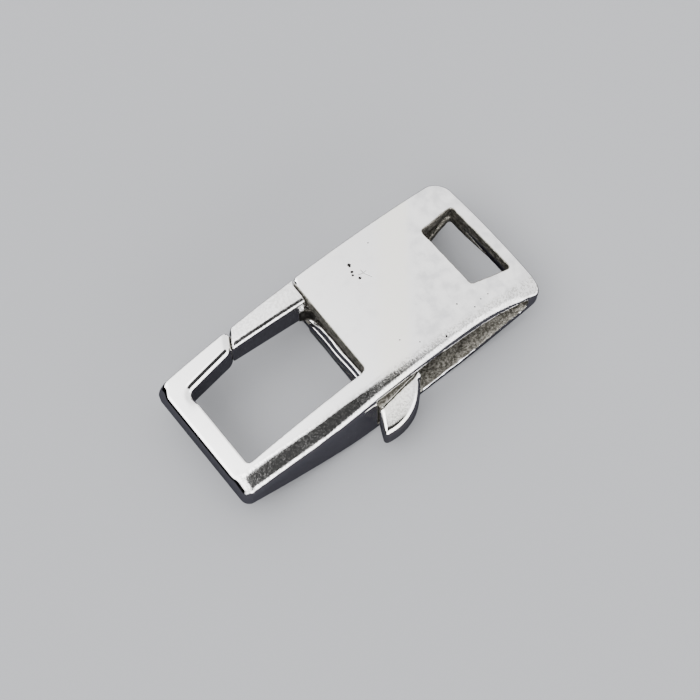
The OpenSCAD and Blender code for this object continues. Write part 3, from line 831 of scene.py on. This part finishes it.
# Where the grid is fine, along X and along Y
RING_END, HOOK_JOINT, PLATE_END, LEDGE_END = 9.9, 5.4, 0.9, 1.0
FAR_RIM, GATE_SIDE, NEAR_RIM, TAB_ROOT, TAB_END = -4.1, -2.8, 3.9, 4.4, 5.6
RING_X = (PLATE_END, NOTCH_X, HOOK_JOINT, NOSE_X - NOSE_BAR_W, RING_END)
BODY_X = (-RING_END, -SLOT_REAR, -SLOT_FRONT, WINDOW_BACK - SILL_W, *RING_X)
BODY_Y = (FAR_RIM, WALL_Y, GATE_SIDE, NEAR_EDGE, NEAR_RIM)
LEVER_X = (ARM_FRONT, LEDGE_END, NOTCH_X, HOOK_JOINT)
LEVER_Y = (FAR_RIM, GATE_SIDE, TAB_ROOT, TAB_END)

clasp_body = skin(
    "clasp_body",
    body,
    lines(-NOSE_X - PAST, NOSE_X + PAST, FINE, COARSE, BODY_X),
    lines(-FAR_REAR - PAST, NEAR_REAR + PAST, FINE, COARSE, BODY_Y),
    lines(-PAST_Z, BODY_T + PAST_Z, FINE_UP),
    silver("polished_silver_body", pitted=True, shaded_brightness=1.0),
)
gate_lever = skin(
    "gate_lever",
    lever,
    lines(HUB_X - HUB_R - PAST, GATE_TIP[0] + PAST, FINE, COARSE, LEVER_X),
    lines(-FAR_REAR - PAST, TAB_REACH + PAST, FINE, COARSE, LEVER_Y),
    lines(ARM_LOW - PAST_Z, BODY_T + PAST_Z, FINE),
    # The lever's cast walls under the top plate get painted shade and keep 0.18 of their brightness
    silver("polished_silver_lever", pitted=False, shaded_brightness=0.18),
)
for piece, node, rides in ((clasp_body, "body", "frame"), (gate_lever, "lever", "lever")):
    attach(piece, rides)
    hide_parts(node)

for node, finish in (
    ("pivot_pin", plain_metal("drawn_silver", DRAWN_SILVER, 0.2)),
    ("return_spring", plain_metal("spring_wire", SPRING_STEEL, 0.3)),
):
    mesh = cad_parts[node].data
    mesh.materials.clear()
    mesh.materials.append(finish)


def lay_floor():
    """A plain pale floor, which the silver mirrors as a dark one."""
    pale, mirrored_tone = (0.3, 0.305, 0.32, 1), (0.028, 0.028, 0.034, 1)
    half = 0.6
    corners = [(x * half, y * half, 0) for x, y in ((-1, -1), (1, -1), (1, 1), (-1, 1))]
    mesh = bpy.data.meshes.new("floor")
    mesh.from_pydata(corners, [], [(0, 1, 2, 3)])
    floor = bpy.data.objects.new("floor", mesh)
    bpy.context.scene.collection.objects.link(floor)
    material, g = new_material("pale_floor")
    mirrored = g.node("ShaderNodeLightPath").outputs["Is Glossy Ray"]
    tone = g.mix(mirrored, pale, mirrored_tone)
    g.surface({"Base Color": tone, "Roughness": 0.8, "Specular IOR Level": 0.0})
    mesh.materials.append(material)


def studio():
    """A soft dome, brighter in front, with a dark flag and a low bright card beside the tab.

    Each patch of it has the azimuth where it stands in degrees, and the cosines of the angle from
    there and the heights, 1 straight up, between which it fades in.
    """
    sky, dome, front_rise, dome_zone = (1.0, 0.998, 0.995, 1), 2.15, 1.9, (-0.5, 0.5)
    front, front_glow = (0, (0.5, 0.95), (0.4, 0.7)), 2.2
    card, card_glow = (95, (0.6, 0.8), (0.5, 0.44)), 2.2
    flag, flag_top, flag_depth = (84, (0.8, 0.86), (0.47, 0.53)), (0.972, 0.955), 0.985
    shade = (-20, (0.3, 0.7), (0.55, 0.45))
    least_level = 0.0004
    world = bpy.data.worlds.new("studio")
    bpy.context.scene.world = world
    world.use_nodes = True
    g = Graph(world.node_tree)
    way = g.node("ShaderNodeTexCoord").outputs["Generated"]
    x, y, z = g.node("ShaderNodeSeparateXYZ", {0: way}).outputs[:3]
    level = g.math("SUBTRACT", 1.0, g.math("MULTIPLY", z, z))
    level = g.math("SQRT", g.math("MAXIMUM", level, least_level))

    def patch(azimuth, across, heights, strength=1.0):
        a = math.radians(azimuth)
        side = g.math("ADD", g.math("MULTIPLY", x, math.cos(a)), g.math("MULTIPLY", y, math.sin(a)))
        cosine = g.math("DIVIDE", side, level)
        return g.math("MULTIPLY", g.step(cosine, *across), g.step(z, *heights, 0.0, strength))

    def darken(light, share):
        return g.math("MULTIPLY", light, g.math("SUBTRACT", 1.0, share))

    glow = g.math("ADD", patch(*front, front_glow), patch(*card, card_glow))
    light = g.math("ADD", g.step(x, *dome_zone, dome, dome + front_rise), glow)
    dark = g.math("MULTIPLY", patch(*flag), g.step(z, *flag_top))
    light = darken(light, g.math("MULTIPLY", dark, flag_depth))
    light = darken(light, patch(*shade))
    back = g.node("ShaderNodeBackground", {"Color": sky, "Strength": light})
    g.node("ShaderNodeOutputWorld", {"Surface": back.outputs[0]})


lay_floor()
studio()

# The photograph's view, fitted to the clasp's straight edges. Distances are in millimetres.
CAMERA_AZIMUTH, CAMERA_ELEVATION, CAMERA_DISTANCE = 50.8, 67.2, 70.0
LOOK_AT = (0.62, 0.77, END_Z)
FOCAL_PIXELS, FRAME_PIXELS, SENSOR = 1311.0, 700.0, 36.0

azimuth, elevation = math.radians(CAMERA_AZIMUTH), math.radians(CAMERA_ELEVATION)
level = math.cos(elevation)
away = Vector((level * math.cos(azimuth), level * math.sin(azimuth), math.sin(elevation)))
aim = Vector((LOOK_AT[0], LOOK_AT[1] - MID_Y, LOOK_AT[2])) * MM
camera_data = bpy.data.cameras.new("camera")
camera_data.sensor_width = SENSOR
camera_data.lens = FOCAL_PIXELS / FRAME_PIXELS * SENSOR
camera_data.clip_start = 0.001
camera = bpy.data.objects.new("camera", camera_data)
camera.location = aim + away * CAMERA_DISTANCE * MM
camera.rotation_euler = away.to_track_quat("Z", "Y").to_euler()
bpy.context.scene.collection.objects.link(camera)
bpy.context.scene.camera = camera
